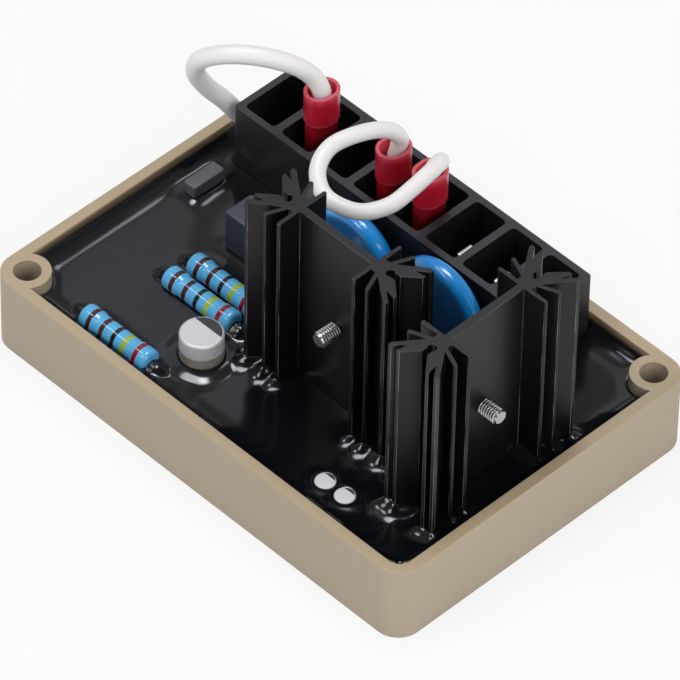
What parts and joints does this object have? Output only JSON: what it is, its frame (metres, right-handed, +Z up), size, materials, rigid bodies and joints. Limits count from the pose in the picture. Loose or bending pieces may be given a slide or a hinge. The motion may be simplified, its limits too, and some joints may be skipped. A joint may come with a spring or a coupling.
{
  "type": "automatic voltage regulator",
  "caption": "Generator voltage regulator cast in black resin in an open tan tray, with a terminal block, finned heat sinks and white jumper wires.",
  "frame": {"origin": "centre of the tray's flat base", "axes": "+X along the tray's long side towards the free end past the terminal block, +Y towards the terminal block, +Z up out of the tray"},
  "size_m": [0.135, 0.094, 0.069],
  "materials": {
    "tan_plastic": "satin moulded",
    "black_resin": "glossy cast",
    "green_board": "satin",
    "black_plastic": "satin moulded",
    "tinned_metal": "bright tinned",
    "brass_contact": "rolled",
    "red_sleeve": "glossy, slightly clear",
    "white_insulation": "satin",
    "black_aluminium": "black anodised, satin",
    "bright_steel": "plated",
    "device_epoxy": "matte",
    "blue_coating": "glossy dipped",
    "grey_case": "satin",
    "slate_case": "satin",
    "sky_lacquer": "glossy lacquer",
    "can_aluminium": "satin",
    "trimmer_case": "satin",
    "trimmer_face": "satin"
  },
  "bodies": {
    "regulator": {"tray": "tan_plastic", "potting": "black_resin", "circuit_board": "green_board", "control_chip": "device_epoxy", "terminal_block": "black_plastic", "film_capacitor_small": "grey_case", "film_capacitor_large": "slate_case", "electrolytic_large": "can_aluminium", "terminal_tab_2": "tinned_metal", "terminal_tab_4": "tinned_metal", "terminal_tab_5": "tinned_metal", "terminal_tab_6": "tinned_metal", "terminal_tab_7": "tinned_metal", "terminal_tab_8": "tinned_metal", "receptacle_1": "brass_contact", "crimp_sleeve_1": "red_sleeve", "resistor_1": "sky_lacquer", "receptacle_2": "brass_contact", "crimp_sleeve_2": "red_sleeve", "resistor_2": "sky_lacquer", "receptacle_3": "brass_contact", "crimp_sleeve_3": "red_sleeve", "resistor_3": "sky_lacquer", "jumper_wire_1": "white_insulation", "heat_sink_1": "black_aluminium", "heat_sink_screw_1": "bright_steel", "power_device_body_1": "device_epoxy", "power_device_frame_1": "tinned_metal", "varistor_1": "blue_coating", "electrolytic_small_1": "can_aluminium", "trimmer_housing_1": "trimmer_case", "jumper_wire_2": "white_insulation", "heat_sink_2": "black_aluminium", "heat_sink_screw_2": "bright_steel", "power_device_body_2": "device_epoxy", "power_device_frame_2": "tinned_metal", "varistor_2": "blue_coating", "electrolytic_small_2": "can_aluminium", "trimmer_housing_2": "trimmer_case"},
    "voltage_trimmer": {"trimmer_rotor_1": "trimmer_face"},
    "stability_trimmer": {"trimmer_rotor_2": "trimmer_face"}
  },
  "joints": [
    {"name": "voltage_turn", "type": "hinge", "parent": "regulator", "child": "voltage_trimmer", "pos_m": [-0.04, 0.0201, 0.0006], "axis": [0, 0, 1], "range_deg": [0, 265]},
    {"name": "stability_turn", "type": "hinge", "parent": "regulator", "child": "stability_trimmer", "pos_m": [-0.02, 0.0201, 0.0006], "axis": [0, 0, 1], "range_deg": [0, 265]}
  ]
}
